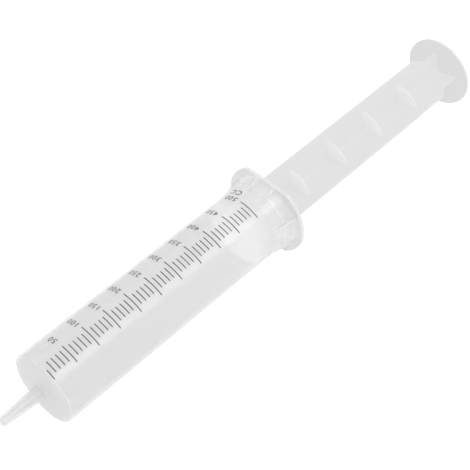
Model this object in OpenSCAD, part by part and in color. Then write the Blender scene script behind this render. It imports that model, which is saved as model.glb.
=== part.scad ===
// Large hand syringe with a plain catheter nozzle: barrel, rubber stopper and plunger rod.
// It lies on its side: +X runs from the nozzle to the thumb disc, the finger wings point along
// Y, and one flat of the finger flange rests on z = 0. The origin is under the middle of its length.

/* [Barrel] */
// Outside diameter of the tube
barrel_d = 59; // [50:0.5:70]
// Thickness of the tube wall
barrel_wall = 1.5; // [1.2:0.1:2]
// Length from the end wall's outer face to the back of the finger flange
barrel_len = 235; // [200:1:280]
// Thickness of the end wall
end_wall = 2; // [1.5:0.1:2.4]
// Radius of the outer edge of the end wall
end_round = 2.5; // [1.5:0.1:4]
// Radius of the corner inside the end wall
inner_round = 0.8; // [0.4:0.1:1]
// Bevel at the open mouth of the bore
mouth_bevel = 0.7; // [0.4:0.1:1]

/* [Nozzle] */
// Length of the nozzle in front of the end wall
nozzle_len = 37; // [25:1:50]
// Diameter of the nozzle where it leaves the end wall
nozzle_base_d = 11.8; // [11:0.1:14]
// Diameter of the nozzle at its tip
nozzle_tip_d = 7.6; // [7:0.1:9]
// Diameter of the straight bore in the tip
nozzle_bore_d = 5; // [4.5:0.1:5.5]
// Length of the straight bore in the tip
nozzle_bore_len = 12; // [8:1:20]
// Diameter of the bore where it opens into the barrel
nozzle_inlet_d = 8.6; // [7:0.1:9]
// Radius of the fillet round the foot of the nozzle
nozzle_fillet = 1.8; // [1:0.1:3]
// Radius of the rounded lip at the tip
nozzle_lip = 0.5; // [0.3:0.1:0.9]

/* [Finger flange] */
// Radius of the two finger wings from the barrel's axis
flange_r = 38.5; // [37:0.5:44]
// Distance from the barrel's axis to the two flats
flange_flat = 32.3; // [32:0.1:35]
// Thickness of the flange
flange_t = 3; // [2:0.1:4]
// Radius of the corners between the flats and the wings
flange_corner = 6; // [3:0.5:12]
// Length of a gusset along the barrel
gusset_len = 21; // [12:1:26]
// Height of the gussets beside each flat where they meet the flange
gusset_near_h = 3.4; // [2.5:0.1:3.4]
// Height of the gussets beside each wing where they meet the flange
gusset_far_h = 4.2; // [3:0.1:5]
// Thickness of a gusset
gusset_t = 1.6; // [1.2:0.1:2]
// Angle of the gussets beside each flat
gusset_near_angle = 14; // [10:1:20]
// Angle of the gussets beside each wing
gusset_far_angle = 66; // [55:1:75]

/* [Retaining bead] */
// Distance from the back of the flange to the crest of the bead inside the bore
bead_setback = 11.7; // [10:0.1:14]
// Height of the bead
bead_h = 0.35; // [0.2:0.05:0.4]
// Width of the bead at its foot
bead_w = 3; // [2:0.1:4]

/* [Piston] */
// Length of the stopper between the edges of its two sealing ribs
piston_len = 15; // [13:0.5:20]
// Distance from the back of the flange to the front sealing edge, as it lies
piston_setback = 36; // [30:0.5:100]
// Height of the crowned face in front of the sealing edge
piston_crown = 0.7; // [0.3:0.1:0.7]
// Width of each sealing rib
seal_w = 3.2; // [2:0.1:4]
// Depth of the waist between the sealing ribs
waist_depth = 1.3; // [0.6:0.1:2]
// Bevel on the edges of the sealing ribs
seal_bevel = 0.5; // [0.3:0.1:0.8]
// Radial running clearance between a sealing rib and the bore
seal_gap = 0.05; // [0.02:0.01:0.1]

/* [Rod head] */
// Thickness of the stopper's face in front of the rod head
face_t = 4; // [3:0.1:5]
// Rubber and clearance between the bore and the rod head
head_setback = 6.3; // [5:0.1:8]
// Height of the head's shoulder over the neck
head_hook = 3.3; // [2:0.1:5]
// Thickness of the lip that holds the head in the stopper
lip_t = 3; // [2:0.1:4]
// Bevel on the front edge of the head
head_bevel = 1.6; // [1:0.1:2.5]
// Radial running clearance round the neck
neck_gap = 0.05; // [0.02:0.01:0.1]
// Free space round the head and between the stopper and the ribs
head_gap = 0.3; // [0.2:0.05:0.5]

/* [Plunger rod] */
// Distance from the stopper's front sealing edge to the front of the thumb disc
rod_reach = 252.2; // [220:0.1:280]
// Distance between the four ribs and the bore
rib_gap = 0.7; // [0.7:0.1:3]
// Thickness of the ribs
rib_t = 2.4; // [1.6:0.1:3]
// Height by which the ribs step in before the thumb disc
rib_step = 8; // [5:0.1:12]
// Length of the narrow stretch in front of the thumb disc
rib_step_len = 15.7; // [10:0.1:25]
// Length of the slope between the full ribs and the narrow stretch
rib_slope_len = 11.9; // [6:0.1:20]
// Length of the solid neck between the ribs
neck_in_ribs = 2.4; // [1.6:0.1:4]
// Height by which the ribs stand out beyond the round stiffening webs
web_step = 8; // [3:0.1:12]
// Thickness of the stiffening webs
web_t = 1.6; // [1:0.1:2.4]
// Number of stiffening webs
web_count = 5; // [2:1:5]
// Distance from the back of the stopper to the middle of the first web
web_lead = 5.2; // [4:0.1:12]
// Distance from the middle of the last web to the thumb disc
web_setback = 53.2; // [40:0.1:60]
// Turn of the plunger about its axis, as it lies
rod_turn = 17; // [0:1:90]

/* [Thumb disc] */
// Radius of the thumb disc
thumb_r = 31.4; // [28:0.1:32]
// Thickness of the thumb disc
thumb_t = 2.8; // [2:0.1:4]
// Radius of the rounded edge of the thumb disc
thumb_round = 0.9; // [0.5:0.1:1]

/* [Hidden] */
$fn = 96;

// Overrun of a solid into the one that it is moulded with
over = 0.2;
// Sides of each rounded corner in a turned outline
round_steps = 5;
// Angle from one point to the next along a wing of the flange
wing_step = 3;

barrel_r = barrel_d / 2;
bore_r = barrel_r - barrel_wall;
bead_at = barrel_len - bead_setback;
piston_at = barrel_len - piston_setback;
head_r = bore_r - head_setback;
neck_r = head_r - head_hook;
rib_r = bore_r - rib_gap;
web_first = piston_len + web_lead;
web_pitch = (rod_reach - web_setback - web_first) / (web_count - 1);
thumb_at = piston_at + rod_reach;
overall_len = nozzle_len + thumb_at + thumb_t;
middle_at = overall_len / 2 - nozzle_len;

// Points of an arc about [cx, cz] from angle a0 to angle a1
function arc(cx, cz, r, a0, a1, steps) =
    [for (i = [0:steps]) let (a = a0 + (a1 - a0) * i / steps) [cx + r * cos(a), cz + r * sin(a)]];

// Lays a piece down: its own Z axis becomes the barrel's axis, with 0 at the end wall
module lay_down() {
    translate([-middle_at, 0, flange_flat]) rotate([0, 90, 0]) children();
}

// Outline of tube, end wall and nozzle, as radius and distance along the axis
function barrel_outline() =
    let (
        base_r = nozzle_base_d / 2,
        tip_r = nozzle_tip_d / 2,
        tip_bore_r = nozzle_bore_d / 2,
        fillet_at = base_r - (base_r - tip_r) * nozzle_fillet / nozzle_len
    )
    concat(
        [[tip_bore_r, -nozzle_len]],
        arc(tip_r - nozzle_lip, nozzle_lip - nozzle_len, nozzle_lip, -90, 0, round_steps),
        arc(fillet_at + nozzle_fillet, -nozzle_fillet, nozzle_fillet, 180, 90, round_steps),
        arc(barrel_r - end_round, end_round, end_round, -90, 0, round_steps),
        [
            [barrel_r, barrel_len],
            [bore_r + mouth_bevel, barrel_len],
            [bore_r, barrel_len - mouth_bevel],
            [bore_r, bead_at + bead_w / 2],
            [bore_r - bead_h, bead_at],
            [bore_r, bead_at - bead_w / 2]
        ],
        arc(bore_r - inner_round, end_wall + inner_round, inner_round, 0, -90, round_steps),
        [
            [nozzle_inlet_d / 2, end_wall],
            [tip_bore_r, nozzle_bore_len - nozzle_len]
        ]
    );

// Centre of the corner arc between a flat and a wing, and the angle at which it touches the wing
corner_x = flange_flat - flange_corner;
corner_y = sqrt(pow(flange_r - flange_corner, 2) - pow(corner_x, 2));
corner_angle = atan2(corner_y, corner_x);

// Outline of the flange: two round wings joined by two flats
function flange_outline() =
    let (
        wing_steps = ceil((180 - 2 * corner_angle) / wing_step),
        corner_steps = ceil(corner_angle / wing_step)
    )
    [for (side = [0, 180], p = concat(
        arc(corner_x, corner_y, flange_corner, 0, corner_angle, corner_steps),
        [for (i = [1:wing_steps - 1])
            let (a = corner_angle + (180 - 2 * corner_angle) * i / wing_steps)
            [flange_r * cos(a), flange_r * sin(a)]],
        arc(-corner_x, corner_y, flange_corner, 180 - corner_angle, 180, corner_steps)
    )) [p[0] * cos(side) - p[1] * sin(side), p[0] * sin(side) + p[1] * cos(side)]];

// One triangular gusset from the tube to the front of the flange
module gusset(high) {
    foot_at = barrel_len - flange_t - gusset_len;
    rotate([90, 0, 0]) translate([0, 0, -gusset_t / 2]) linear_extrude(gusset_t) polygon([
        [barrel_r - over, foot_at],
        [barrel_r, foot_at],
        [barrel_r + high, barrel_len - flange_t],
        [barrel_r + high, barrel_len - flange_t + over],
        [barrel_r - over, barrel_len - flange_t + over]
    ]);
}

module flange() {
    translate([0, 0, barrel_len - flange_t]) difference() {
        linear_extrude(flange_t) polygon(flange_outline());
        translate([0, 0, -over]) cylinder(h = flange_t + 2 * over, r = barrel_r - over);
    }
    for (side = [0, 180], turn = [-1, 1]) {
        rotate(side + turn * gusset_near_angle) gusset(gusset_near_h);
        rotate(side + turn * gusset_far_angle) gusset(gusset_far_h);
    }
}

module barrel() {
    color([0.88, 0.88, 0.88, 0.6]) lay_down() {
        rotate_extrude() polygon(barrel_outline());
        flange();
    }
}

// Rubber stopper with two sealing ribs, hollow behind its face
module piston() {
    seal_r = bore_r - seal_gap;
    waist_r = seal_r - waist_depth;
    hollow_r = head_r + head_gap;
    mouth_r = neck_r + neck_gap;
    color([0.94, 0.94, 0.93]) lay_down() translate([0, 0, piston_at]) rotate_extrude() polygon([
        [0, -piston_crown],
        [seal_r / 2, -piston_crown * 3 / 4],
        [seal_r - seal_bevel, 0],
        [seal_r, seal_bevel],
        [seal_r, seal_w - seal_bevel],
        [waist_r, seal_w + waist_depth - seal_bevel],
        [waist_r, piston_len - seal_w - waist_depth + seal_bevel],
        [seal_r, piston_len - seal_w + seal_bevel],
        [seal_r, piston_len - seal_bevel],
        [seal_r - seal_bevel, piston_len],
        [mouth_r, piston_len],
        [mouth_r, piston_len - lip_t],
        [hollow_r, piston_len - lip_t],
        [hollow_r, face_t + head_bevel],
        [hollow_r - head_bevel, face_t],
        [0, face_t]
    ]);
}

// Head and neck as one turned shape, measured from the sealing edge
module rod_head() {
    head_front = face_t + head_gap;
    head_back = piston_len - lip_t - head_gap;
    neck_end = piston_len + head_gap + neck_in_ribs;
    rotate_extrude() polygon([
        [0, head_front],
        [head_r - head_bevel, head_front],
        [head_r, head_front + head_bevel],
        [head_r, head_back],
        [neck_r, head_back],
        [neck_r, neck_end],
        [0, neck_end]
    ]);
}

// One pair of opposite ribs, stepped in before the thumb disc
module rib_pair() {
    ribs_from = piston_len + head_gap;
    step_at = rod_reach - rib_step_len;
    rib_step_r = rib_r - rib_step;
    outline = [
        [rib_r, ribs_from],
        [rib_r, step_at - rib_slope_len],
        [rib_step_r, step_at],
        [rib_step_r, rod_reach + over]
    ];
    rotate([90, 0, 0]) translate([0, 0, -rib_t / 2]) linear_extrude(rib_t)
        polygon(concat(outline, [for (i = [len(outline) - 1:-1:0]) [-outline[i][0], outline[i][1]]]));
}

module thumb_disc() {
    translate([0, 0, rod_reach]) rotate_extrude() polygon(concat(
        [[0, 0]],
        arc(thumb_r - thumb_round, thumb_round, thumb_round, -90, 0, round_steps),
        arc(thumb_r - thumb_round, thumb_t - thumb_round, thumb_round, 0, 90, round_steps),
        [[0, thumb_t]]
    ));
}

module plunger_rod() {
    color([0.9, 0.9, 0.9, 0.7]) lay_down() translate([0, 0, piston_at]) rotate(-rod_turn) {
        rod_head();
        for (a = [0, 90]) rotate(a) rib_pair();
        for (i = [0:web_count - 1])
            translate([0, 0, web_first + i * web_pitch - web_t / 2])
                cylinder(h = web_t, r = rib_r - web_step);
        thumb_disc();
    }
}

barrel();
piston();
plunger_rod();
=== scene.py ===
"""A large plastic hand syringe: milky barrel, stopper and ribbed plunger, and a printed scale."""

import math

import bmesh
import bpy
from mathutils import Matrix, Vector


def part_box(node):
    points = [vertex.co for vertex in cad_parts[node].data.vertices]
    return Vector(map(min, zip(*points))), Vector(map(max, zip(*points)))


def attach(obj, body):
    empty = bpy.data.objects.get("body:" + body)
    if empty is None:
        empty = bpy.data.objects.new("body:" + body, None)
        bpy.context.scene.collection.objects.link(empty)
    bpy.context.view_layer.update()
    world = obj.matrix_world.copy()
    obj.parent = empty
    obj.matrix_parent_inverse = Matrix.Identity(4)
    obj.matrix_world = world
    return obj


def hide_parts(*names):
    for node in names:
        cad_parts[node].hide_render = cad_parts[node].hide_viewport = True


bl_info = {
    "name": "Plastic Syringe",
    "version": (1, 0, 0),
    "blender": (4, 5, 0),
    "location": "View3D > Sidebar > Syringe",
    "description": "Builds a milky plastic syringe with its plunger, stopper and printed scale",
    "category": "Add Mesh",
}

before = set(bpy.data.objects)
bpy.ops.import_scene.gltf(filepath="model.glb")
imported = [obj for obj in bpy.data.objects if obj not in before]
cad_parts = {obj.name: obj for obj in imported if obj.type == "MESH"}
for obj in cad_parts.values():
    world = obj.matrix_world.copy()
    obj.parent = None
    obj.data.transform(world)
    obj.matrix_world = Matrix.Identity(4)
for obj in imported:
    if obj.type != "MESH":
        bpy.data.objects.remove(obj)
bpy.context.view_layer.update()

MM = 0.001
# In cubic metres
MILLILITRE = 1e-6
BARREL_LOW, BARREL_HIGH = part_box("barrel")
STOPPER_LOW, STOPPER_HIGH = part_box("piston")
ROD_LOW, ROD_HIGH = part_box("plunger_rod")
AXIS_Z = (BARREL_LOW.z + BARREL_HIGH.z) / 2
# Vertices this near to each other are one
WELD = 0.002 * MM
# Edges of next to no length, left by a union, are shorter than this
SLIVER = 0.05 * MM
# Smallest plane that a drawn outline starts from
SPECK = 0.01 * MM
# Sides of a full turn, first for the barrel, then for stopper, head and thumb disc
TUBE_SIDES = 180
TURNED_SIDES = 144
WEB_SIDES = 120
# Steps of the arc of one finger wing
WING_STEPS = 48
# Points of the bead's curve as shares of its half width, and of the crown's as shares of its radius
BEAD_SHARES = (-0.66, -0.33, 0.0, 0.33, 0.66)
CROWN_SHARES = (0.25, 0.5, 0.75)
# Edges that turn by more than this are rounded
SHARP = math.radians(38.0)
# Faces that turn by less than this are shaded as one
SMOOTH = math.radians(32.0)
# A face looks outwards if less than this share of its normal lies along the axis
OUTWARD_SHARE = 0.5
# It looks along the axis if more than this share of its normal does
AXIAL_SHARE = 0.9
# The slope of a gusset has more than this share of its normal towards the nozzle
SLOPE_SHARE = 0.1
# Share of the end wall's rounding, from its face on, that is left without the painted highlight
CLEAR_SHARE = 0.7
# Share of its colour that a plastic keeps in its darker patches
DARKER_SHARE = 0.97
WHITE = (1.0, 1.0, 1.0, 1.0)


def length(name, description, millimetres):
    """A size that the user can change, in metres, with its default given in millimetres."""
    return bpy.props.FloatProperty(
        name=name,
        description=description,
        default=millimetres * MM,
        min=0.0,
        unit="LENGTH",
        precision=5,
    )


def angle(name, description, degrees):
    return bpy.props.FloatProperty(
        name=name, description=description, default=math.radians(degrees), unit="ROTATION"
    )


def tint(name, description, red, green, blue):
    return bpy.props.FloatVectorProperty(
        name=name,
        description=description,
        default=(red, green, blue),
        subtype="COLOR",
        min=0.0,
        max=1.0,
    )


def share(name, description, default):
    return bpy.props.FloatProperty(
        name=name,
        description=description,
        default=default,
        min=0.0,
        max=1.0,
        subtype="FACTOR",
        precision=3,
    )


def amount(name, description, default):
    return bpy.props.FloatProperty(name=name, description=description, default=default, min=0.0)


def count(name, description, default):
    return bpy.props.IntProperty(name=name, description=description, default=default, min=2)


class BarrelSizes(bpy.types.PropertyGroup):
    tube_radius: length("Tube radius", "Outside radius of the tube", 29.5)
    wall: length("Wall", "Thickness of the tube wall", 1.5)
    end_wall: length("End wall", "Thickness of the end wall", 2.0)
    end_round: length("End rounding", "Radius of the outer edge of the end wall", 2.5)
    inner_round: length("Inner rounding", "Radius of the corner inside the end wall", 0.8)
    mouth_bevel: length("Mouth bevel", "Bevel at the open mouth of the bore", 0.7)
    nozzle_length: length("Nozzle length", "Length of the nozzle in front of the end wall", 37.0)
    nozzle_base: length("Nozzle foot radius", "Radius of the nozzle at the end wall", 5.9)
    nozzle_tip: length("Nozzle tip radius", "Radius of the nozzle at its tip", 3.8)
    nozzle_bore: length("Nozzle bore radius", "Radius of the straight bore in the tip", 2.5)
    nozzle_bore_length: length("Nozzle bore length", "Length of the straight bore", 12.0)
    nozzle_inlet: length("Nozzle inlet radius", "Radius of the bore at the end wall", 4.3)
    nozzle_fillet: length("Nozzle fillet", "Radius of the fillet round the nozzle's foot", 1.8)
    nozzle_lip: length("Nozzle lip", "Radius of the rounded lip at the tip", 0.5)
    flange_radius: length("Wing radius", "Radius of the two finger wings", 38.5)
    flange_thickness: length("Flange thickness", "Thickness of the finger flange", 3.0)
    flange_corner: length("Flange corner", "Radius of the corners between flats and wings", 6.0)
    gusset_length: length("Gusset length", "Length of a gusset along the barrel", 21.0)
    gusset_near: length("Gusset height at the flats", "Height of the gussets beside each flat", 3.4)
    gusset_far: length("Gusset height at the wings", "Height of the gussets beside each wing", 4.2)
    gusset_thickness: length("Gusset thickness", "Thickness of a gusset", 1.6)
    near_angle: angle("Angle at the flats", "Angle of the gussets beside each flat", 14.0)
    far_angle: angle("Angle at the wings", "Angle of the gussets beside each wing", 66.0)
    bead_setback: length("Bead setback", "From the back of the flange to the bead's crest", 11.7)
    bead_height: length("Bead height", "Height of the retaining bead", 0.35)
    bead_width: length("Bead width", "Width of the retaining bead at its foot", 3.0)
    edge_softness: length("Edge softness", "Radius that the mould leaves on an edge", 0.25)


class PlungerSizes(bpy.types.PropertyGroup):
    stopper_crown: length("Crown", "Height of the stopper's face before its sealing edge", 0.7)
    seal_clearance: length("Seal clearance", "Between a sealing rib and the bore", 0.05)
    seal_width: length("Seal width", "Width of each sealing rib", 3.2)
    seal_bevel: length("Seal bevel", "Bevel on the edges of the sealing ribs", 0.5)
    waist_depth: length("Waist depth", "Depth of the waist between the sealing ribs", 1.3)
    face: length("Face", "Thickness of the stopper's face before the rod's head", 4.0)
    head_setback: length("Head setback", "Rubber and clearance between bore and head", 6.3)
    head_hook: length("Head shoulder", "Height of the head's shoulder over the neck", 3.3)
    head_gap: length("Head gap", "Free space round the head", 0.3)
    head_bevel: length("Head bevel", "Bevel on the front edge of the head", 1.6)
    neck_gap: length("Neck gap", "Running clearance round the neck", 0.05)
    neck_in_ribs: length("Neck in the ribs", "Length of the solid neck between the ribs", 2.4)
    lip: length("Lip", "Thickness of the lip that holds the head", 3.0)
    rib_gap: length("Rib gap", "Between the four ribs and the bore", 0.7)
    rib_thickness: length("Rib thickness", "Thickness of the ribs", 2.4)
    rib_step: length("Rib step", "Height by which the ribs step in", 8.0)
    rib_step_length: length("Narrow stretch", "Length of the narrow ribs", 15.7)
    rib_slope_length: length("Slope", "Length of the slope to the narrow stretch", 11.9)
    web_thickness: length("Web thickness", "Thickness of the stiffening webs", 1.6)
    web_lead: length("Web lead", "From the stopper to the first web", 5.2)
    web_setback: length("Web setback", "From the last web to the thumb disc", 53.2)
    web_count: count("Webs", "Number of stiffening webs", 5)
    rod_turn: angle("Turn", "Turn of the plunger about its axis, as it lies", 17.0)
    thumb_radius: length("Thumb disc radius", "Radius of the thumb disc", 31.4)
    thumb_thickness: length("Thumb disc thickness", "Thickness of the thumb disc", 2.8)
    thumb_round: length("Thumb disc edge", "Radius of the disc's rounded edge", 0.9)
    edge_softness: length("Edge softness", "Radius that the mould leaves on an edge", 0.3)


class ScaleSizes(bpy.types.PropertyGroup):
    step: count("Step", "Volume between two marks, in millilitres", 10)
    full: count("Full volume", "Volume at the last mark, in millilitres", 500)
    numbered_every: count("Numbered every", "Volume between two numbered marks, in millilitres", 50)
    zero_at: length("Zero mark", "From the end wall's face to the zero mark", 3.07)
    line_angle: angle("Print angle", "Turn of the scale's middle line from the top", 13.0)
    long_mark: length("Long mark", "Length of a numbered mark round the tube", 19.2)
    short_mark: length("Short mark", "Length of a plain mark round the tube", 10.4)
    mark_width: length("Mark width", "Width of a printed line", 0.72)
    zero_mark: length("Zero mark length", "Length of the zero mark round the tube", 8.6)
    zero_shift: length("Zero mark shift", "How far the zero mark sits off the middle line", 4.2)
    first_mark: length("First numbered mark", "Length of the first numbered mark", 16.0)
    first_shift: length("First mark shift", "How far that mark sits off the middle line", 0.8)
    digit_height: length("Digit height", "Height of the printed numbers", 4.5)
    digit_gap: length("Digit gap", "From a numbered mark to its first digit", 4.0)
    digit_setback: length("Digit setback", "From a mark to the middle of its number", 0.6)
    digit_spacing: amount("Digit spacing", "Spacing of the digits", 1.15)
    digit_stretch: amount("Digit stretch", "How much wider the digits are than the font's", 1.2)
    unit_height: length("Unit height", "Height of the unit's letters", 5.0)
    unit_along: length("Unit place along", "From the last mark to the middle of the unit", 7.2)
    unit_around: length("Unit place around", "From the marks' middle line to the unit", 15.6)
    ink_lift: length("Ink lift", "Height of the ink's underside over the tube", 0.02)
    ink_thickness: length("Ink thickness", "Thickness of the printed ink", 0.03)


class SyringeFinish(bpy.types.PropertyGroup):
    barrel_colour: tint("Barrel", "Colour of the barrel's plastic", 0.58, 0.58, 0.58)
    barrel_haze: share("Barrel haze", "How much of the light behind it the barrel stops", 0.5)
    mouth_haze: share("Mouth haze", "What the haze rises to between the gussets", 0.75)
    # Painted glow: the barrel's emission stands in for light scattered in its milky plastic and
    # lifts its shade
    barrel_glow: share("Barrel glow", "Light that the milky barrel gathers and gives back", 0.21)
    barrel_milkiness: share("Barrel milkiness", "How much light spreads inside the barrel", 0.5)
    barrel_spread: length("Barrel spread", "How far light spreads inside the barrel", 3.0)
    barrel_gloss: share("Barrel gloss", "Strength of the reflections on the barrel", 0.5)
    barrel_roughness: share("Barrel roughness", "Roughness of the barrel", 0.15)
    flange_colour: tint("Flange", "Colour of the finger flange's thicker plastic", 0.15, 0.15, 0.15)
    flange_haze: share("Flange haze", "How much of the light behind it the flange stops", 0.7)
    # Painted glow on the flange, strongest at the tube's root: painted light that lifts the shade
    # between plate and tube
    flange_glow: share("Flange glow", "Light that the flange gathers and gives back", 0.62)
    flange_outer: share("Flange's outer glow", "Share of its glow away from the tube", 0.8)
    plunger_colour: tint("Plunger", "Colour of the plunger's plastic", 0.15, 0.15, 0.15)
    plunger_haze: share("Plunger haze", "How much of the light behind it the plunger stops", 0.85)
    # Painted glow: the plunger's emission stands in for scattered light and flattens its shade in
    # corners
    plunger_glow: share("Plunger glow", "Light that the plunger gathers and gives back", 0.62)
    # The painted glow is strongest at the ribs' crossing, a painted light in the crease
    rib_outer: share("Rib's outer glow", "Share of its glow away from the ribs' crossing", 0.975)
    plunger_milkiness: share("Plunger milkiness", "How much light spreads inside it", 0.0)
    plunger_spread: length("Plunger spread", "How far light spreads inside the plunger", 3.0)
    plunger_gloss: share("Plunger gloss", "Strength of the reflections on the plunger", 0.2)
    plunger_roughness: share("Plunger roughness", "Roughness of the plunger", 0.3)
    # Painted glow: the webs get more painted light than the ribs, and a little less at their middle
    web_glow: share("Web glow", "Light that the webs gather and give back", 0.66)
    web_inner: share("Web's inner glow", "Share of its glow at the middle of a web", 0.93)
    disc_haze: share("Disc haze", "How much of the light behind it the thumb disc stops", 0.85)
    # Painted shade: the thumb disc is the plunger's plastic with less painted glow than the rod
    disc_glow: share("Disc glow", "Light that the thumb disc gathers and gives back", 0.56)
    # Painted highlight: a lighter finish, with its own painted glow, for thin edges, rims and
    # crests
    edge_colour: tint("Edge", "Colour of the thin edges, which gather light", 0.6, 0.6, 0.6)
    edge_haze: share("Edge haze", "How much of the light behind them the thin edges stop", 0.7)
    edge_glow: share("Edge glow", "Light that the thin edges gather and give back", 0.2)
    stopper_colour: tint("Stopper face", "Colour of the stopper's face", 0.95, 0.95, 0.945)
    # Painted glow: the stopper's rubber emits its own colour, as if lit through the barrel
    stopper_glow: share("Stopper glow", "Light that the milky face gathers and gives back", 0.48)
    # Painted shade: the sealing ribs are the same rubber, darker and with less painted glow than
    # the face
    lip_colour: tint("Stopper side", "Colour of the stopper's sealing ribs", 0.86, 0.86, 0.855)
    lip_glow: share("Side glow", "Light that the sealing ribs gather and give back", 0.3)
    ink_colour: tint("Ink", "Colour of the printed scale", 0.006, 0.006, 0.007)


class StageLayout(bpy.types.PropertyGroup):
    floor_width: length("Floor width", "Width of the pale floor", 6000.0)
    floor_colour: tint("Floor", "Colour of the floor", 0.9, 0.9, 0.9)
    floor_glow: share("Floor glow", "What brings the floor to white in the picture", 0.42)
    room_light: share("Room light", "Strength of the even light from all sides", 0.74)
    key_power: amount("Key light", "Power of the strip lamp, in watts", 7.0)
    fill_power: amount("Fill light", "Power of the wide lamp, in watts", 2.0)
    key_angle: angle("Key angle", "Turn of the strip lamp from the top towards the camera", 28.0)
    key_height: length("Key height", "From the strip lamp to the syringe's axis", 1300.0)
    key_along: length("Key place", "From the frame's origin to the strip lamp's middle", 480.0)
    key_length: length("Key length", "Length of the strip lamp along the syringe", 1400.0)
    key_depth: length("Key depth", "Width of the strip lamp across the syringe", 550.0)
    fill_azimuth: angle("Fill azimuth", "Direction of the wide lamp round the syringe", -75.0)
    fill_elevation: angle("Fill elevation", "Height of the wide lamp over the horizon", 30.0)
    fill_distance: length("Fill distance", "From the wide lamp to the middle of the view", 1300.0)
    fill_width: length("Fill width", "Width and height of the wide lamp", 800.0)
    camera_azimuth: angle("Camera azimuth", "Direction of the camera round the syringe", -46.29)
    camera_elevation: angle("Camera elevation", "Height of the camera over the horizon", 50.21)
    camera_distance: length("Camera distance", "From the camera to the middle of the view", 999.6)
    camera_aim: length("Camera aim", "How far the view's middle lies towards the nozzle", 11.4)
    camera_lens: amount("Lens", "Focal length, in millimetres", 98.66)


class Level:
    """One output of a node, so that maths on it is written as plain Python."""

    def __init__(self, finish, socket):
        self.finish = finish
        self.socket = socket

    def _maths(self, operation, first, second):
        return self.finish.node("Math", {"operation": operation}, {0: first, 1: second})

    def __add__(self, other):
        return self._maths("ADD", self, other)

    def __radd__(self, other):
        return self._maths("ADD", other, self)

    def __sub__(self, other):
        return self._maths("SUBTRACT", self, other)

    def __rsub__(self, other):
        return self._maths("SUBTRACT", other, self)

    def __mul__(self, other):
        return self._maths("MULTIPLY", self, other)

    def __rmul__(self, other):
        return self._maths("MULTIPLY", other, self)


class Finish:
    """A material or a world, and the one way to add nodes to it."""

    def __init__(self, owner):
        owner.use_nodes = True
        self.owner = owner
        self.tree = owner.node_tree
        self.tree.nodes.clear()

    def node(self, kind, settings=None, inputs=None, output=0):
        """Adds a node, sets its settings first and then its sockets, and returns one output."""
        made = self.tree.nodes.new("ShaderNode" + kind)
        for name, value in (settings or {}).items():
            setattr(made, name, value)
        for name, value in (inputs or {}).items():
            if isinstance(value, Level):
                self.tree.links.new(value.socket, made.inputs[name])
            else:
                made.inputs[name].default_value = value
        return Level(self, made.outputs[output])

    def close(self, kind, surface):
        end = self.tree.nodes.new("ShaderNodeOutput" + kind)
        self.tree.links.new(surface.socket, end.inputs["Surface"])
        return self.owner


def new_finish(name):
    return Finish(bpy.data.materials.new(name))


def between(finish, mask, first, second):
    """A colour between two, by a mask."""
    return finish.node(
        "Mix",
        {"data_type": "RGBA"},
        {"Factor": mask, 6: (*first, 1.0), 7: (*second, 1.0)},
        output=2,
    )


def cloud(finish, scale, detail=3.0):
    """Soft noise fixed in the piece, around one half."""
    place = finish.node("TexCoord", output=3)
    return finish.node(
        "TexNoise", inputs={"Vector": place, "Scale": scale, "Detail": detail, "Roughness": 0.55}
    )


def uneven(noise, middle, spread):
    """A level that strays from its middle as a noise does from one half."""
    return noise * spread + (middle - spread / 2)


def fade(finish, value, start, end, first, last):
    """A soft passage from the first to the last level, while a value goes from start to end."""
    return finish.node(
        "MapRange",
        {"interpolation_type": "SMOOTHSTEP"},
        {"Value": value, "From Min": start, "From Max": end, "To Min": first, "To Max": last},
    )


def from_axis(finish):
    """Distance from the syringe's axis."""
    place = finish.node("TexCoord", output=3)
    across = finish.node("SeparateXYZ", inputs={0: place}, output=1)
    up = finish.node("SeparateXYZ", inputs={0: place}, output=2) - AXIS_Z
    return finish.node("Math", {"operation": "SQRT"}, {0: across * across + up * up})


def plastic_finish(name, colour, haze, glow, body, thicker=None, painted_glow_span=None):
    """Moulded polypropylene: milky, satin, with faint flow marks. Haze is how much light from
    behind it stops, and glow is painted light: an emission that stands in for the light scattered
    inside the plastic and lifts its shade in corners and creases. Body is weight and spread of the
    light inside, then gloss and roughness. Thicker is where the haze starts and ends its rise, what
    it rises to, and the place and half width of a ring that stops all light. painted_glow_span is
    between which distances from the axis the painted glow changes, and its share at each.
    """
    milkiness, spread, gloss, roughness = body
    finish = new_finish(name)
    if thicker:
        start, end, full_haze, ring, half = thicker
        along = finish.node("SeparateXYZ", inputs={0: finish.node("TexCoord", output=3)})
        from_ring = finish.node("Math", {"operation": "ABSOLUTE"}, {0: along - ring})
        haze = fade(finish, along, start, end, haze, full_haze)
        haze = haze + fade(finish, from_ring, 0.0, half, 1.0 - full_haze, 0.0)
    # Painted glow: a share that changes with distance from the axis, to put more painted light
    # where shade gathers
    painted_glow_share = fade(finish, from_axis(finish), *painted_glow_span) if painted_glow_span else WHITE
    flow = cloud(finish, scale=22.0)
    grain = cloud(finish, scale=900.0, detail=2.0)
    darker = [DARKER_SHARE * c for c in colour]
    bump = finish.node(
        "Bump", inputs={"Strength": 0.06, "Distance": 0.1 * MM, "Height": grain}
    )
    surface = finish.node(
        "BsdfPrincipled",
        inputs={
            "Base Color": between(finish, flow, darker, colour),
            "Roughness": uneven(flow, middle=roughness, spread=0.06),
            "IOR": 1.49,
            "Specular IOR Level": gloss,
            "Subsurface Weight": milkiness,
            "Subsurface Radius": (1.0, 1.0, 1.0),
            "Subsurface Scale": spread,
            # Emission: painted glow that stands in for light scattered in the plastic, which is no
            # lamp
            "Emission Color": painted_glow_share,
            "Emission Strength": glow,
            "Alpha": haze,
            "Normal": bump,
        },
    )
    return finish.close("Material", surface)


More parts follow.
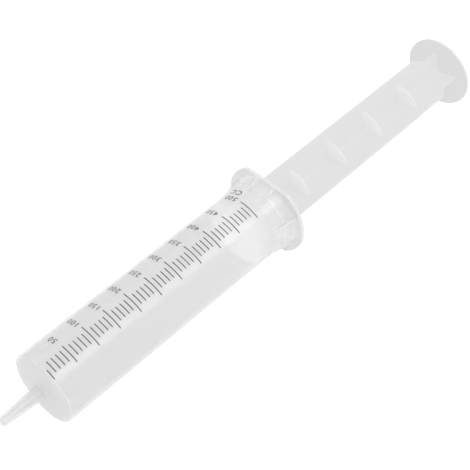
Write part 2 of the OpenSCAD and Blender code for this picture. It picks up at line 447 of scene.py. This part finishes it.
def rubber_finish(name, colour, glow):
    """Milky stopper rubber, a little duller than the plastic round it, with a painted glow of its
    own colour that stands in for the light reaching it through the barrel.
    """
    finish = new_finish(name)
    flow = cloud(finish, scale=60.0)
    darker = [DARKER_SHARE * c for c in colour]
    surface = finish.node(
        "BsdfPrincipled",
        inputs={
            "Base Color": between(finish, flow, darker, colour),
            "Roughness": uneven(flow, middle=0.45, spread=0.1),
            "IOR": 1.5,
            # Painted glow of the rubber's own colour; the stopper is no lamp
            "Emission Color": (*colour, 1.0),
            "Emission Strength": glow,
        },
    )
    return finish.close("Material", surface)


def ink_finish(name, colour):
    """Screen-printed ink, thinner in places."""
    finish = new_finish(name)
    patch = cloud(finish, scale=700.0, detail=2.0)
    lighter_by = 0.03
    thin = [c + lighter_by for c in colour]
    surface = finish.node(
        "BsdfPrincipled",
        inputs={
            "Base Color": between(finish, patch, colour, thin),
            "Roughness": uneven(patch, middle=0.5, spread=0.2),
        },
    )
    return finish.close("Material", surface)


def seen_directly(finish):
    """1 where the picture itself shows this surface, and 0 where it only lights the syringe."""
    return finish.node("LightPath", output="Is Camera Ray")


def floor_finish(name, colour, glow):
    finish = new_finish(name)
    matt = finish.node("BsdfDiffuse", inputs={"Color": (*colour, 1.0)})
    light = finish.node(
        "Emission", inputs={"Color": WHITE, "Strength": seen_directly(finish) * glow}
    )
    return finish.close("Material", finish.node("AddShader", inputs={0: matt, 1: light}))


def select_nothing():
    """An operator acts on all that is selected, so a piece starts with nothing selected."""
    for thing in list(bpy.context.selected_objects):
        thing.select_set(False)


def work_on(piece):
    select_nothing()
    piece.select_set(True)
    bpy.context.view_layer.objects.active = piece


def edit(piece):
    work_on(piece)
    bpy.ops.object.mode_set(mode="EDIT")
    return bmesh.from_edit_mesh(piece.data)


def leave(piece):
    """Back to object mode, with the piece's place in its mesh."""
    bpy.ops.object.mode_set(mode="OBJECT")
    work_on(piece)
    bpy.ops.object.transform_apply(location=True, rotation=True, scale=True)
    return piece


def modify(piece, kind, **settings):
    """Adds one modifier and applies it."""
    work_on(piece)
    modifier = piece.modifiers.new(kind.title(), kind)
    for name, value in settings.items():
        setattr(modifier, name, value)
    bpy.ops.object.modifier_apply(modifier=modifier.name)
    return piece


def draw(name, points):
    """A closed line of edges, started from a small plane that is merged to one vertex."""
    select_nothing()
    bpy.ops.mesh.primitive_plane_add(size=SPECK, location=points[0])
    piece = bpy.context.active_object
    piece.name = piece.data.name = name
    bpy.ops.object.mode_set(mode="EDIT")
    bpy.ops.mesh.select_mode(type="VERT")
    bpy.ops.mesh.select_all(action="SELECT")
    bpy.ops.mesh.merge(type="CENTER")
    for here, there in zip(points, points[1:] + points[:1]):
        bpy.ops.mesh.extrude_vertices_move(TRANSFORM_OT_translate={"value": there - here})
    bpy.ops.mesh.select_all(action="SELECT")
    bpy.ops.mesh.remove_doubles(threshold=WELD)
    return piece


def arc(along, out, radius, first, last, steps):
    """Points of an arc in an outline of (along, out), where 0 degrees is out and 90 is along."""
    turns = [math.radians(first + (last - first) * i / steps) for i in range(steps + 1)]
    return [(along + radius * math.sin(t), out + radius * math.cos(t)) for t in turns]


def turned(name, outline, steps):
    """Spins a closed outline of (along, out) round the syringe's axis."""
    points = [Vector((along, 0.0, AXIS_Z + out)) for along, out in outline]
    piece = draw(name, points)
    bpy.ops.mesh.spin(
        steps=steps, angle=math.tau, center=(0.0, 0.0, AXIS_Z), axis=(1.0, 0.0, 0.0)
    )
    bpy.ops.mesh.select_all(action="SELECT")
    bpy.ops.mesh.remove_doubles(threshold=WELD)
    # An outline that starts and ends on the axis leaves its line there
    bpy.ops.mesh.delete_loose()
    bpy.ops.mesh.select_all(action="SELECT")
    bpy.ops.mesh.normals_make_consistent(inside=False)
    return leave(piece)


def slab(name, points, thickness):
    """A flat piece: a closed outline that is filled and then drawn out by its thickness."""
    piece = draw(name, points)
    bpy.ops.mesh.edge_face_add()
    bpy.ops.mesh.extrude_region_move(TRANSFORM_OT_translate={"value": thickness})
    bpy.ops.mesh.select_all(action="SELECT")
    bpy.ops.mesh.normals_make_consistent(inside=False)
    return leave(piece)


def turn_about_axis(piece, turn):
    """Turns a piece about the syringe's axis and keeps the turn in its mesh."""
    piece.location.z -= AXIS_Z
    bpy.context.view_layer.update()
    work_on(piece)
    bpy.ops.object.transform_apply(location=True, rotation=False, scale=False)
    piece.rotation_euler.x = turn
    piece.location.z = AXIS_Z
    return leave(piece)


def copies_of(model, number):
    """Copies of a model, each with its own mesh. The model itself is the last of them."""
    copies = []
    for _ in range(number - 1):
        work_on(model)
        bpy.ops.object.duplicate(linked=False)
        copies.append(bpy.context.active_object)
    return copies + [model]


def join(pieces):
    work_on(pieces[0])
    for piece in pieces[1:]:
        piece.select_set(True)
    bpy.ops.object.join()
    return bpy.context.active_object


def weld_on(piece, other):
    """Makes one moulding of two overlapping solids."""
    modify(piece, "BOOLEAN", operation="UNION", solver="EXACT", object=other)
    bpy.data.objects.remove(other)
    return piece


def soften(piece, radius, highlight_slot=-1):
    """Rounds the sharp edges as a mould does, and shades the curved faces smooth. The roundings get
    the finish in highlight_slot, which on the barrel is the painted highlight, or else that of the
    faces beside them. The tightest corner of a piece holds back all of its roundings, so edges of
    next to no length are closed first. The barrel's roundings are still held far under their
    radius, as a seam runs close to the mouth's bevel.
    """
    modify(piece, "WELD", merge_threshold=SLIVER)
    modify(
        piece,
        "BEVEL",
        width=radius,
        segments=2,
        limit_method="ANGLE",
        angle_limit=SHARP,
        miter_outer="MITER_ARC",
        material=highlight_slot,
    )
    work_on(piece)
    bpy.ops.object.shade_smooth_by_angle(angle=SMOOTH)
    return piece


def coat(piece, *finishes):
    """Gives a piece its finishes: the first covers it, and the others wait for their faces."""
    piece.data.materials.clear()
    for finish in finishes:
        piece.data.materials.append(finish)


def give_finish(piece, slot, is_chosen):
    """Gives one of a piece's finishes to some faces: is_chosen reads a face's place and normal."""
    mesh = edit(piece)
    bpy.ops.mesh.select_mode(type="FACE")
    bpy.ops.mesh.select_all(action="DESELECT")
    for face in mesh.faces:
        middle = face.calc_center_median()
        out = math.hypot(middle.y, middle.z - AXIS_Z)
        face.select_set(is_chosen(middle.x, out, face.normal))
    bmesh.update_edit_mesh(piece.data)
    piece.active_material_index = slot
    bpy.ops.object.material_slot_assign()
    return leave(piece)


def carry(piece, body):
    """The body that a piece moves with."""
    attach(piece, body)


def barrel_outline(sizes):
    """The tube, end wall and nozzle in section."""
    tip = BARREL_LOW.x
    face = tip + sizes.nozzle_length
    back = BARREL_HIGH.x
    bore = sizes.tube_radius - sizes.wall
    bead = back - sizes.bead_setback
    half_bead = sizes.bead_width / 2
    narrowing = (sizes.nozzle_base - sizes.nozzle_tip) / sizes.nozzle_length
    foot = sizes.nozzle_base - narrowing * sizes.nozzle_fillet
    lip = sizes.nozzle_lip
    fillet = sizes.nozzle_fillet
    edge = sizes.end_round
    inner = sizes.inner_round
    # A ring before the gussets' toes, so that their shading doesn't run along the tube
    before_toes = back - sizes.flange_thickness - sizes.gusset_length - sizes.gusset_thickness
    return [
        (tip, sizes.nozzle_bore),
        *arc(tip + lip, sizes.nozzle_tip - lip, lip, -90, 0, steps=5),
        *arc(face - fillet, foot + fillet, fillet, 180, 90, steps=6),
        *arc(face + edge, sizes.tube_radius - edge, edge, -90, 0, steps=8),
        (before_toes, sizes.tube_radius),
        (back, sizes.tube_radius),
        (back, bore + sizes.mouth_bevel),
        (back - sizes.mouth_bevel, bore),
        (bead + half_bead, bore),
        *[
            (bead - half_bead * t, bore - sizes.bead_height * (1 - t * t))
            for t in BEAD_SHARES
        ],
        (bead - half_bead, bore),
        *arc(face + sizes.end_wall + inner, bore - inner, inner, 0, -90, steps=4),
        (face + sizes.end_wall, sizes.nozzle_inlet),
        (tip + sizes.nozzle_bore_length, sizes.nozzle_bore),
    ]


def flange_outline(sizes):
    """Two round wings and two flats, on one of which it lies, as (sideways, up) from the axis."""
    corner = sizes.flange_corner
    up = AXIS_Z - corner
    aside = math.sqrt((sizes.flange_radius - corner) ** 2 - up**2)
    touch = math.degrees(math.atan2(aside, up))
    half = [
        *arc(aside, up, corner, 0, touch, steps=6),
        *arc(0.0, 0.0, sizes.flange_radius, touch, 180 - touch, WING_STEPS)[1:-1],
        *arc(aside, -up, corner, 180 - touch, 180, steps=6),
    ]
    return half + [(-sideways, -height) for sideways, height in half]


def flange(sizes):
    """The plate with its two finger wings."""
    front = BARREL_HIGH.x - sizes.flange_thickness
    points = [
        Vector((front, sideways, AXIS_Z + height))
        for sideways, height in flange_outline(sizes)
    ]
    plate = slab("flange", points, Vector((sizes.flange_thickness, 0.0, 0.0)))
    within_wall = sizes.tube_radius - sizes.wall / 2
    beyond_plate = 4 * sizes.flange_thickness
    select_nothing()
    bpy.ops.mesh.primitive_cylinder_add(
        vertices=TUBE_SIDES,
        radius=within_wall,
        depth=beyond_plate,
        location=(BARREL_HIGH.x, 0.0, AXIS_Z),
        rotation=(0.0, math.pi / 2, 0.0),
    )
    hole = bpy.context.active_object
    modify(plate, "BOOLEAN", operation="DIFFERENCE", solver="EXACT", object=hole)
    bpy.data.objects.remove(hole)
    return plate


def gussets(sizes, height, aside):
    """Four triangular webs from the tube to the front of the flange, beside flats or wings."""
    back = BARREL_HIGH.x - sizes.flange_thickness / 2
    front = BARREL_HIGH.x - sizes.flange_thickness
    toe = front - sizes.gusset_length
    root = sizes.tube_radius - sizes.wall / 2
    crest = sizes.tube_radius + height
    half = sizes.gusset_thickness / 2
    # The slope runs on into the wall, so that the toe leaves no step on the tube
    buried = (sizes.tube_radius - root) * sizes.gusset_length / height
    section = [(toe - buried, root), (back, root), (back, crest), (front, crest)]
    points = [Vector((along, -half, AXIS_Z + out)) for along, out in section]
    model = slab("gusset", points, Vector((0.0, sizes.gusset_thickness, 0.0)))
    turns = (-aside, aside, math.pi - aside, math.pi + aside)
    copies = copies_of(model, len(turns))
    return [turn_about_axis(copy, turn) for copy, turn in zip(copies, turns)]


class SYRINGE_OT_barrel(bpy.types.Operator):
    """Models the barrel: tube, end wall, nozzle, finger flange, gussets and bead in one moulding"""

    bl_idname = "syringe.barrel"
    bl_label = "Barrel"

    def execute(self, context):
        sizes = context.scene.syringe_barrel
        finish = context.scene.syringe_finish
        barrel = turned("barrel_moulding", barrel_outline(sizes), TUBE_SIDES)
        weld_on(barrel, flange(sizes))
        near = gussets(sizes, sizes.gusset_near, sizes.near_angle)
        far = gussets(sizes, sizes.gusset_far, sizes.far_angle)
        weld_on(barrel, join(near + far))
        body = (
            finish.barrel_milkiness,
            finish.barrel_spread,
            finish.barrel_gloss,
            finish.barrel_roughness,
        )
        flange_front = BARREL_HIGH.x - sizes.flange_thickness
        toe = flange_front - sizes.gusset_length
        coat(
            barrel,
            plastic_finish(
                "barrel plastic",
                finish.barrel_colour,
                finish.barrel_haze,
                finish.barrel_glow,
                body,
                (
                    toe - sizes.gusset_far,
                    toe + sizes.gusset_far,
                    finish.mouth_haze,
                    BARREL_HIGH.x - sizes.bead_setback,
                    sizes.bead_width / 2,
                ),
            ),
            # Painted highlight on the flange rim, gusset crests, roundings, nozzle foot and bead
            plastic_finish(
                "barrel edges with painted highlight", finish.edge_colour, finish.edge_haze, finish.edge_glow, body
            ),
            plastic_finish(
                "flange",
                finish.flange_colour,
                finish.flange_haze,
                finish.flange_glow,
                body,
                # Painted light: full glow near the tube, less towards the wings
                painted_glow_span=(
                    sizes.tube_radius,
                    sizes.tube_radius + sizes.gusset_far,
                    1.0,
                    finish.flange_outer,
                ),
            ),
        )
        face = BARREL_LOW.x + sizes.nozzle_length

        def on_gusset(along, out):
            return out > sizes.tube_radius + sizes.edge_softness and along < flange_front

        # Faces that get the painted highlight: flange rim, gusset crests, end wall rounding, nozzle
        # foot and bead
        def is_edge(along, out, normal):
            on_plate = along > flange_front and out > sizes.tube_radius
            on_rim = on_plate and abs(normal.x) < OUTWARD_SHARE
            on_crest = on_gusset(along, out) and normal.x < -SLOPE_SHARE
            on_end = face + CLEAR_SHARE * sizes.end_round < along < face + sizes.end_round
            # At the nozzle's foot the painted highlight also lifts the shade of the fillet
            on_foot = face - sizes.nozzle_fillet < along < face
            on_outside = out > sizes.tube_radius - sizes.wall / 2
            from_bead = abs(along - BARREL_HIGH.x + sizes.bead_setback)
            on_bead = from_bead < sizes.bead_width / 2 and not on_outside
            return on_rim or on_crest or on_bead or on_foot or (on_end and on_outside)

        def is_plate(along, out, normal):
            on_plate = along > flange_front - sizes.edge_softness
            return (on_plate and abs(normal.x) > AXIAL_SHARE) or on_gusset(along, out)

        give_finish(barrel, 2, is_plate)
        give_finish(barrel, 1, is_edge)
        soften(barrel, sizes.edge_softness, highlight_slot=1)
        carry(barrel, "barrel")
        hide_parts("barrel")
        return {"FINISHED"}


class SYRINGE_OT_stopper(bpy.types.Operator):
    """Models the rubber stopper with its sealing ribs and the hollow for the rod's head"""

    bl_idname = "syringe.stopper"
    bl_label = "Stopper"

    def execute(self, context):
        barrel = context.scene.syringe_barrel
        sizes = context.scene.syringe_plunger
        finish = context.scene.syringe_finish
        crown = STOPPER_LOW.x
        front = crown + sizes.stopper_crown
        back = STOPPER_HIGH.x
        bore = barrel.tube_radius - barrel.wall
        seal = bore - sizes.seal_clearance
        waist = seal - sizes.waist_depth
        bevel = sizes.seal_bevel
        slope = sizes.seal_width + sizes.waist_depth - bevel
        head = bore - sizes.head_setback
        hollow = head + sizes.head_gap
        mouth = head - sizes.head_hook + sizes.neck_gap
        outline = [
            (crown, 0.0),
            *[(front - sizes.stopper_crown * (1 - t * t), seal * t) for t in CROWN_SHARES],
            (front, seal - bevel),
            (front + bevel, seal),
            (front + sizes.seal_width - bevel, seal),
            (front + slope, waist),
            (back - slope, waist),
            (back - sizes.seal_width + bevel, seal),
            (back - bevel, seal),
            (back, seal - bevel),
            (back, mouth),
            (back - sizes.lip, mouth),
            (back - sizes.lip, hollow),
            (front + sizes.face + sizes.head_bevel, hollow),
            (front + sizes.face, hollow - sizes.head_bevel),
            (front + sizes.face, 0.0),
        ]
        stopper = turned("stopper_moulding", outline, TURNED_SIDES)
        coat(
            stopper,
            rubber_finish("stopper face with painted glow", finish.stopper_colour, finish.stopper_glow),
            rubber_finish("stopper side in painted shade", finish.lip_colour, finish.lip_glow),
        )
        # The sides and back get the darker rubber, a painted shade
        give_finish(stopper, 1, lambda along, out, normal: normal.x > -AXIAL_SHARE)
        soften(stopper, bevel / 2)
        carry(stopper, "stopper")
        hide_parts("piston")
        return {"FINISHED"}


def rib_pair(sizes, front, disc, rib):
    """Two opposite ribs as one plate, stepped in before the thumb disc."""
    half = sizes.rib_thickness / 2
    step = disc - sizes.rib_step_length
    narrow = rib - sizes.rib_step
    side = [
        (front, rib),
        (step - sizes.rib_slope_length, rib),
        (step, narrow),
        (disc + sizes.thumb_thickness / 2, narrow),
    ]
    section = side + [(along, -out) for along, out in reversed(side)]
    points = [Vector((along, -half, AXIS_Z + out)) for along, out in section]
    return slab("rib pair", points, Vector((0.0, sizes.rib_thickness, 0.0)))


def thumb_disc(sizes, disc):
    edge = sizes.thumb_round
    rim = sizes.thumb_radius - edge
    back = disc + sizes.thumb_thickness
    outline = [
        (disc, 0.0),
        *arc(disc + edge, rim, edge, -90, 0, steps=5),
        *arc(back - edge, rim, edge, 0, 90, steps=5),
        (back, 0.0),
    ]
    return turned("thumb disc", outline, TURNED_SIDES)


class SYRINGE_OT_plunger(bpy.types.Operator):
    """Models the plunger rod: crossed ribs, stiffening webs, thumb disc, neck and head"""

    bl_idname = "syringe.plunger"
    bl_label = "Plunger"

    def execute(self, context):
        barrel = context.scene.syringe_barrel
        sizes = context.scene.syringe_plunger
        finish = context.scene.syringe_finish
        bore = barrel.tube_radius - barrel.wall
        rib = bore - sizes.rib_gap
        disc = ROD_HIGH.x - sizes.thumb_thickness
        ribs_from = STOPPER_HIGH.x + sizes.head_gap
        rod = rib_pair(sizes, ribs_from, disc, rib)
        rod.name = rod.data.name = "plunger_moulding"
        weld_on(rod, turn_about_axis(rib_pair(sizes, ribs_from, disc, rib), math.pi / 2))

        web = rib - sizes.rib_step
        first = STOPPER_HIGH.x + sizes.web_lead
        last = disc - sizes.web_setback
        select_nothing()
        bpy.ops.mesh.primitive_cylinder_add(
            vertices=WEB_SIDES,
            radius=web,
            depth=sizes.web_thickness,
            location=(first, 0.0, AXIS_Z),
            rotation=(0.0, math.pi / 2, 0.0),
        )
        pitch = (last - first) / (sizes.web_count - 1)
        for i, copy in enumerate(copies_of(bpy.context.active_object, sizes.web_count)):
            copy.location.x += i * pitch
            weld_on(rod, leave(copy))

        head = bore - sizes.head_setback
        neck = head - sizes.head_hook
        head_back = STOPPER_HIGH.x - sizes.lip - sizes.head_gap
        outline = [
            (ROD_LOW.x, 0.0),
            (ROD_LOW.x, head - sizes.head_bevel),
            (ROD_LOW.x + sizes.head_bevel, head),
            (head_back, head),
            (head_back, neck),
            (ribs_from + sizes.neck_in_ribs, neck),
            (ribs_from + sizes.neck_in_ribs, 0.0),
        ]
        weld_on(rod, turned("head", outline, TURNED_SIDES))
        weld_on(rod, thumb_disc(sizes, disc))
        turn_about_axis(rod, -sizes.rod_turn)
        body = (
            finish.plunger_milkiness,
            finish.plunger_spread,
            finish.plunger_gloss,
            finish.plunger_roughness,
        )
        coat(
            rod,
            plastic_finish(
                "plunger plastic",
                finish.plunger_colour,
                finish.plunger_haze,
                finish.plunger_glow,
                body,
                # Painted light: full glow at the ribs' crossing, a little less further out
                painted_glow_span=(sizes.rib_thickness / 2, 2 * sizes.rib_thickness, 1.0, finish.rib_outer),
            ),
            # Painted highlight on the webs' rims and the thumb disc's rim
            plastic_finish(
                "plunger edges with painted highlight", finish.edge_colour, finish.edge_haze, finish.edge_glow, body
            ),
            # The same plastic as the rod, with less painted glow: a painted shade on the thumb disc
            plastic_finish(
                "thumb disc", finish.plunger_colour, finish.disc_haze, finish.disc_glow, body
            ),
            plastic_finish(
                "webs",
                finish.plunger_colour,
                finish.plunger_haze,
                finish.web_glow,
                body,
                # Painted shade: the webs' glow falls off towards their middle
                painted_glow_span=(0.0, web, finish.web_inner, 1.0),
            ),
        )

        def among_webs(along):
            return first - sizes.web_thickness < along < last + sizes.web_thickness

        # Faces that get the painted highlight: the webs' rims and the thumb disc's rim
        def is_edge(along, out, normal):
            on_web = among_webs(along) and abs(out - web) < sizes.edge_softness
            on_rim = out > sizes.thumb_radius - sizes.thumb_round
            return (on_web or on_rim) and abs(normal.x) < OUTWARD_SHARE

        def is_web(along, out, normal):
            return among_webs(along) and abs(normal.x) > AXIAL_SHARE

        give_finish(rod, 3, is_web)
        give_finish(rod, 2, lambda along, out, normal: along > disc - sizes.edge_softness)
        give_finish(rod, 1, is_edge)
        soften(rod, sizes.edge_softness)
        carry(rod, "plunger")
        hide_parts("plunger_rod")
        return {"FINISHED"}


def flat_mark(along, around, mark_length, width):
    """One printed line on the flat sheet: along is the barrel's axis, around its developed arc."""
    select_nothing()
    bpy.ops.mesh.primitive_plane_add(size=1.0, location=(along, around, 0.0))
    mark = bpy.context.active_object
    mark.scale = (width, mark_length, 1.0)
    return leave(mark)


def flat_words(words, height, sizes):
    """Words on the flat sheet that run round the tube, with their lower left at the origin."""
    select_nothing()
    bpy.ops.object.text_add()
    text = bpy.context.active_object
    text.data.body = words
    text.data.space_character = sizes.digit_spacing
    bpy.ops.object.convert(target="MESH")
    printed = bpy.context.active_object
    corners = [Vector(corner) for corner in printed.bound_box]
    low = Vector((min(c.x for c in corners), min(c.y for c in corners), 0.0))
    tall = max(c.y for c in corners) - low.y
    size = height / tall
    wide = size * sizes.digit_stretch
    printed.location = Vector((-low.x * wide, -low.y * size, 0.0))
    printed.scale = (wide, size, size)
    leave(printed)
    printed.rotation_euler.z = math.pi / 2
    return leave(printed)


def wrap_round_tube(sheet, radius, line_angle, thickness):
    """Cuts a flat print into strips, bends it to the tube and gives the ink its thickness."""
    strip = 1.0 * MM
    reach = [vertex.co.y for vertex in sheet.data.vertices]
    low, high = min(reach), max(reach)
    edit(sheet)
    for i in range(1, int((high - low) / strip) + 1):
        bpy.ops.mesh.select_all(action="SELECT")
        bpy.ops.mesh.bisect(plane_co=(0.0, low + i * strip, 0.0), plane_no=(0.0, 1.0, 0.0))
    leave(sheet)
    sheet.rotation_euler.x = math.pi / 2
    leave(sheet)
    bend = (high - low) / radius
    modify(sheet, "SIMPLE_DEFORM", deform_method="BEND", deform_axis="X", angle=bend)
    sheet.location.y = -radius
    leave(sheet)
    sheet.rotation_euler.x = line_angle - math.pi / 2
    leave(sheet)
    sheet.location.z = AXIS_Z
    leave(sheet)
    modify(sheet, "SOLIDIFY", thickness=thickness, offset=1.0)
    return sheet


class SYRINGE_OT_scale(bpy.types.Operator):
    """Prints the volume scale on the barrel: marks, numbers and the unit"""

    bl_idname = "syringe.scale"
    bl_label = "Printed scale"

    def execute(self, context):
        barrel = context.scene.syringe_barrel
        sizes = context.scene.syringe_scale
        finish = context.scene.syringe_finish
        bore = barrel.tube_radius - barrel.wall
        # A cubic centimetre is a length along the bore
        per_millilitre = MILLILITRE / (math.pi * bore**2)
        zero = BARREL_LOW.x + barrel.nozzle_length + sizes.zero_at
        # Two marks are printed short and off the middle line
        misprints = {
            0: (sizes.zero_mark, sizes.zero_shift),
            sizes.numbered_every: (sizes.first_mark, sizes.first_shift),
        }
        marks, numbers = [], []
        for volume in range(0, sizes.full + 1, sizes.step):
            along = zero + volume * per_millilitre
            numbered = volume > 0 and volume % sizes.numbered_every == 0
            usual = (sizes.long_mark if numbered else sizes.short_mark, 0.0)
            mark_length, shift = misprints.get(volume, usual)
            marks.append(flat_mark(along, -shift, mark_length, sizes.mark_width))
            if numbered:
                number = flat_words(str(volume), sizes.digit_height, sizes)
                number.location.x = along - sizes.digit_setback + sizes.digit_height / 2
                number.location.y = sizes.long_mark / 2 + sizes.digit_gap
                numbers.append(leave(number))
        unit = flat_words("CC", sizes.unit_height, sizes)
        last = zero + sizes.full * per_millilitre
        unit.location.x = last + sizes.unit_along + sizes.unit_height / 2
        unit.location.y = sizes.unit_around
        ink = ink_finish("scale ink", finish.ink_colour)
        sheets = {
            "scale_marks": join(marks),
            "scale_numbers": join(numbers),
            "scale_unit": leave(unit),
        }
        for name, sheet in sheets.items():
            sheet.name = sheet.data.name = name
            wrap_round_tube(
                sheet, barrel.tube_radius + sizes.ink_lift, sizes.line_angle, sizes.ink_thickness
            )
            coat(sheet, ink)
            carry(sheet, "barrel")
        return {"FINISHED"}


def aim(thing, place, target):
    """Puts a lamp or the camera at a place and points it at a target."""
    thing.location = place
    thing.rotation_mode = "QUATERNION"
    thing.rotation_quaternion = (target - place).to_track_quat("-Z", "Y")


def direction(azimuth, elevation):
    """From the syringe outwards: azimuth 0 is the side of -Y, and 90 degrees the side of +X."""
    level = math.cos(elevation)
    return Vector(
        (math.sin(azimuth) * level, -math.cos(azimuth) * level, math.sin(elevation))
    )


def soft_lamp(name, power, width, depth, place, target):
    select_nothing()
    bpy.ops.object.light_add(type="AREA")
    lamp = bpy.context.active_object
    lamp.name = name
    lamp.data.shape = "RECTANGLE"
    lamp.data.size = width
    lamp.data.size_y = depth
    lamp.data.energy = power
    aim(lamp, place, target)
    return lamp


class SYRINGE_OT_stage(bpy.types.Operator):
    """Lays a pale floor, hangs the soft lamps and sets the camera"""

    bl_idname = "syringe.stage"
    bl_label = "Stage"

    def execute(self, context):
        layout = context.scene.syringe_stage
        select_nothing()
        bpy.ops.mesh.primitive_plane_add(size=layout.floor_width)
        floor = context.active_object
        floor.name = floor.data.name = "floor"
        floor.data.materials.append(
            floor_finish("pale floor", layout.floor_colour, layout.floor_glow)
        )

        middle = Vector((-layout.camera_aim, 0.0, AXIS_Z))
        beside_rod = Vector((layout.key_along, 0.0, AXIS_Z))
        leaning = Vector((0.0, -math.sin(layout.key_angle), math.cos(layout.key_angle)))
        key = soft_lamp(
            "strip lamp",
            layout.key_power,
            layout.key_length,
            layout.key_depth,
            beside_rod + layout.key_height * leaning,
            beside_rod,
        )
        fill = soft_lamp(
            "wide lamp",
            layout.fill_power,
            layout.fill_width,
            layout.fill_width,
            middle + layout.fill_distance * direction(layout.fill_azimuth, layout.fill_elevation),
            middle,
        )

        room = bpy.data.worlds.new("pale room")
        context.scene.world = room
        finish = Finish(room)
        seen = seen_directly(finish)
        strength = seen * (1.0 - layout.room_light) + layout.room_light
        finish.close(
            "World",
            finish.node("Background", inputs={"Color": WHITE, "Strength": strength}),
        )

        bpy.ops.object.camera_add()
        camera = context.active_object
        camera.data.lens = layout.camera_lens
        towards = direction(layout.camera_azimuth, layout.camera_elevation)
        aim(camera, middle + layout.camera_distance * towards, middle)
        context.scene.camera = camera
        context.scene.view_settings.view_transform = "Standard"
        return {"FINISHED"}


class SYRINGE_PT_maker(bpy.types.Panel):
    """Lists the operators, and the sizes and colours that they use"""

    bl_label = "Syringe"
    bl_idname = "SYRINGE_PT_maker"
    bl_space_type = "VIEW_3D"
    bl_region_type = "UI"
    bl_category = "Syringe"

    def draw(self, context):
        for operator in OPERATORS:
            self.layout.operator(operator.bl_idname)
        for name, group in GROUPS.items():
            box = self.layout.box()
            box.label(text=name.replace("_", " ").capitalize())
            for size in group.__annotations__:
                box.prop(getattr(context.scene, name), size)


GROUPS = {
    "syringe_barrel": BarrelSizes,
    "syringe_plunger": PlungerSizes,
    "syringe_scale": ScaleSizes,
    "syringe_finish": SyringeFinish,
    "syringe_stage": StageLayout,
}
OPERATORS = (
    SYRINGE_OT_stage,
    SYRINGE_OT_barrel,
    SYRINGE_OT_stopper,
    SYRINGE_OT_plunger,
    SYRINGE_OT_scale,
)
CLASSES = (*GROUPS.values(), *OPERATORS, SYRINGE_PT_maker)


def register():
    for new_class in CLASSES:
        bpy.utils.register_class(new_class)
    for name, group in GROUPS.items():
        setattr(bpy.types.Scene, name, bpy.props.PointerProperty(type=group))


def unregister():
    for name in GROUPS:
        delattr(bpy.types.Scene, name)
    for old_class in reversed(CLASSES):
        bpy.utils.unregister_class(old_class)


def main():
    register()
    bpy.ops.syringe.stage()
    bpy.ops.syringe.barrel()
    bpy.ops.syringe.stopper()
    bpy.ops.syringe.plunger()
    bpy.ops.syringe.scale()


if __name__ == "__main__":
    main()
